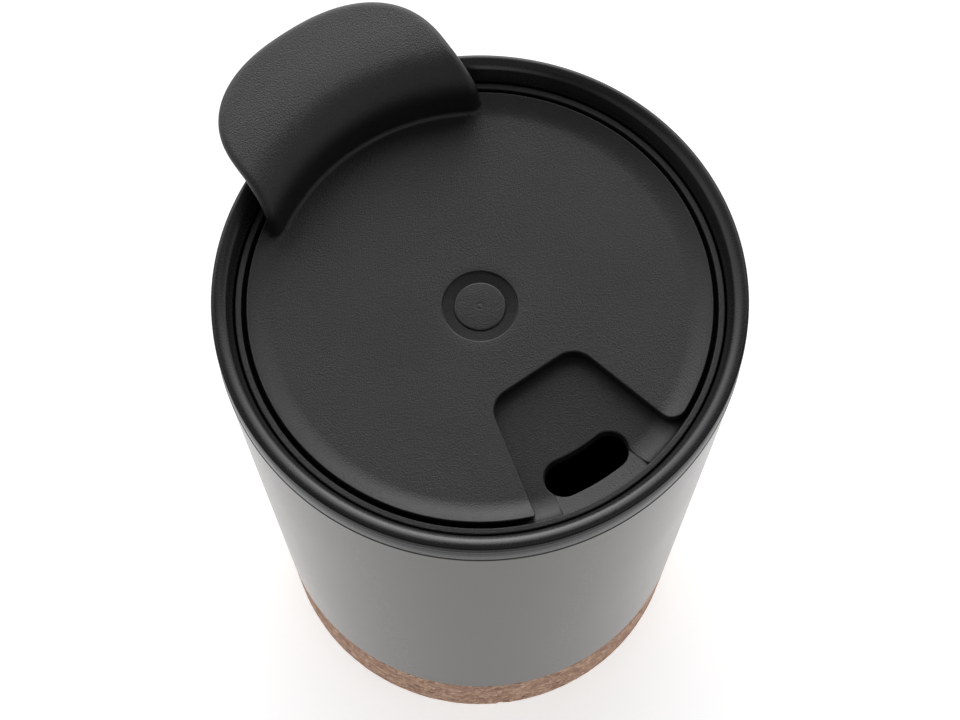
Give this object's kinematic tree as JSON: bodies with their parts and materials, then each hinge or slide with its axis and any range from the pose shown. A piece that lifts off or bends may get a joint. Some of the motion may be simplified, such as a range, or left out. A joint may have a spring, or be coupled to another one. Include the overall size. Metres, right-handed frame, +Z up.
{
  "type": "travel cup",
  "caption": "Tapered double-wall travel cup with a glossy liner, a cork base and a press-in lid whose closure disc turns by a thumb tab over the drink slot.",
  "frame": {"origin": "centre of the flat rest face under the cork base", "axes": "+Z up along the cup's axis, the drink slot toward -Y and the thumb tab toward +Y, +X to the right of the drinker's slot seen from behind the tab"},
  "size_m": [0.09, 0.1019, 0.1181],
  "materials": {
    "grey_wall": "satin grey moulded plastic with a very fine grain",
    "black_liner": "glossy black moulded plastic",
    "base_black": "plain black moulded plastic, hidden",
    "cork": "agglomerated cork with light and dark granules",
    "lid_black": "dark grey plastic with a fine spark-eroded texture and smooth edges",
    "seal_rubber": "matte dark silicone",
    "clip_steel": "plain spring steel"
  },
  "bodies": {
    "cup": {"outer_shell": "grey_wall", "inner_liner": "black_liner", "base_plate": "base_black", "cork_base": "cork"},
    "lid": {"lid_body": "lid_black", "lid_seal": "seal_rubber", "pivot_pin": "lid_black", "pivot_clip": "clip_steel"},
    "closure": {"closure_disc": "lid_black"}
  },
  "joints": [
    {"name": "lid_lift", "type": "slide", "parent": "cup", "child": "lid", "axis": [0, 0, 1], "range_m": [0, 0.04]},
    {"name": "closure_turn", "type": "hinge", "parent": "lid", "child": "closure", "pos_m": [0, 0, 0.107], "axis": [0, 0, 1], "range_deg": [0, 60]}
  ]
}
